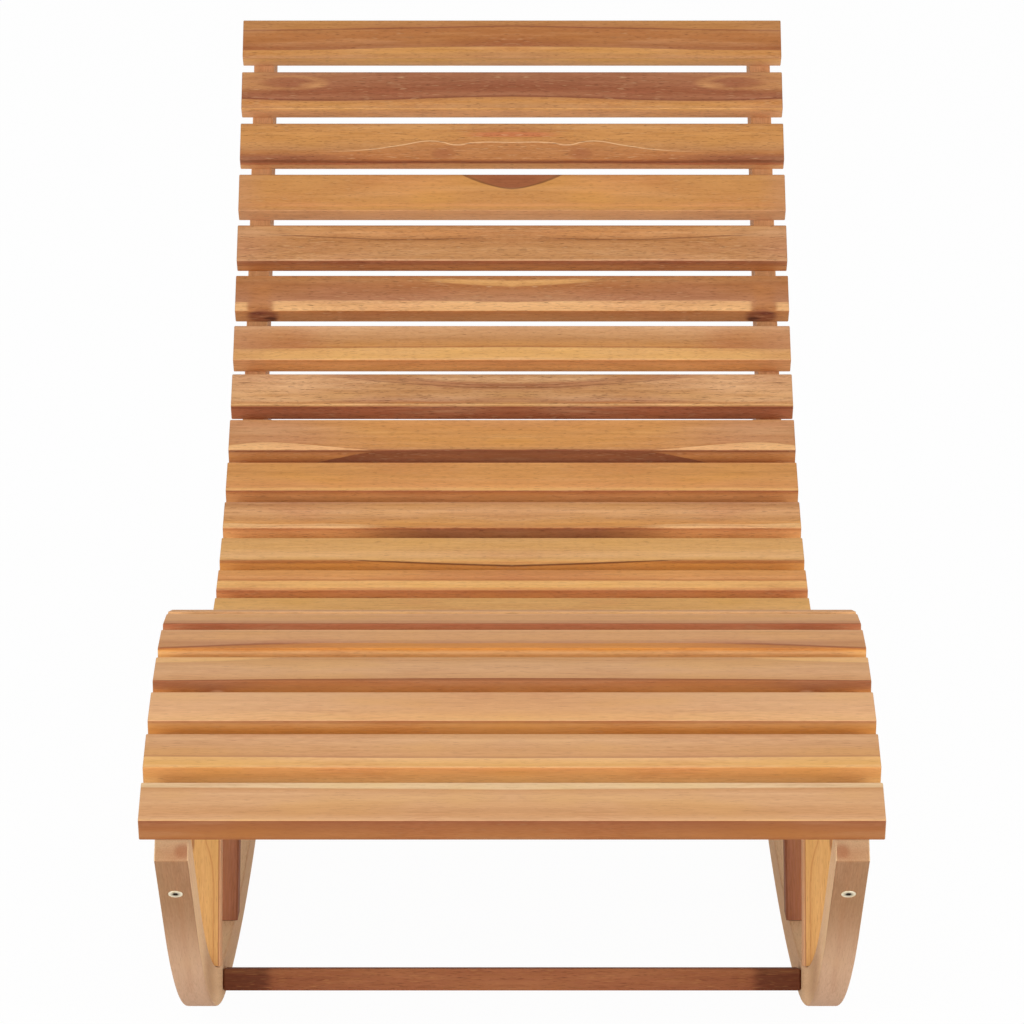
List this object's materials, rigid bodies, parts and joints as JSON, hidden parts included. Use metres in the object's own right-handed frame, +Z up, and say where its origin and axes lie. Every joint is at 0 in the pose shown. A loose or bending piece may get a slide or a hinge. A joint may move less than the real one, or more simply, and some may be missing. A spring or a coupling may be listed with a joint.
{
  "type": "rocking chaise lounge",
  "caption": "Waved wooden chaise lounge with cross slats on two side rails, standing on curved runners so that it rocks end to end.",
  "frame": {"origin": "on the floor, under the middle of the overall box", "axes": "+X to the right across the slats, +Y from the foot end to the head end, +Z up"},
  "size_m": [0.6, 1.7902, 0.7386],
  "materials": {
    "slat_wood": "oiled hardwood with visible grain, satin",
    "rail_wood": "oiled hardwood, satin",
    "runner_wood": "oiled hardwood, pale pinkish tan, satin",
    "post_wood": "oiled hardwood, yellow to reddish brown, satin",
    "crossbar_wood": "oiled hardwood, dark reddish brown, satin",
    "bolt_metal": "pale brass, satin",
    "nut_metal": "zinc-plated, satin"
  },
  "bodies": {
    "root": {"slat_01": "slat_wood", "slat_02": "slat_wood", "slat_03": "slat_wood", "slat_04": "slat_wood", "slat_05": "slat_wood", "slat_06": "slat_wood", "slat_07": "slat_wood", "slat_08": "slat_wood", "slat_09": "slat_wood", "slat_10": "slat_wood", "slat_11": "slat_wood", "slat_12": "slat_wood", "slat_13": "slat_wood", "slat_14": "slat_wood", "slat_15": "slat_wood", "slat_16": "slat_wood", "slat_17": "slat_wood", "slat_18": "slat_wood", "slat_19": "slat_wood", "slat_20": "slat_wood", "slat_21": "slat_wood", "slat_22": "slat_wood", "slat_23": "slat_wood", "slat_24": "slat_wood", "slat_25": "slat_wood", "slat_26": "slat_wood", "slat_27": "slat_wood", "slat_28": "slat_wood", "slat_29": "slat_wood", "slat_30": "slat_wood", "rail_right": "rail_wood", "runner_right": "runner_wood", "front_post_right": "post_wood", "middle_post_right": "post_wood", "rear_post_right": "post_wood", "front_bolt_right": "bolt_metal", "rear_bolt_right": "bolt_metal", "front_crossbar_bolt_right": "bolt_metal", "rear_crossbar_bolt_right": "bolt_metal", "front_nut_right": "nut_metal", "rear_nut_right": "nut_metal", "front_crossbar_nut_right": "nut_metal", "rear_crossbar_nut_right": "nut_metal", "rail_left": "rail_wood", "runner_left": "runner_wood", "front_post_left": "post_wood", "middle_post_left": "post_wood", "rear_post_left": "post_wood", "front_bolt_left": "bolt_metal", "rear_bolt_left": "bolt_metal", "front_crossbar_bolt_left": "bolt_metal", "rear_crossbar_bolt_left": "bolt_metal", "front_nut_left": "nut_metal", "rear_nut_left": "nut_metal", "front_crossbar_nut_left": "nut_metal", "rear_crossbar_nut_left": "nut_metal", "front_crossbar": "crossbar_wood", "rear_crossbar": "crossbar_wood"}
  },
  "joints": []
}
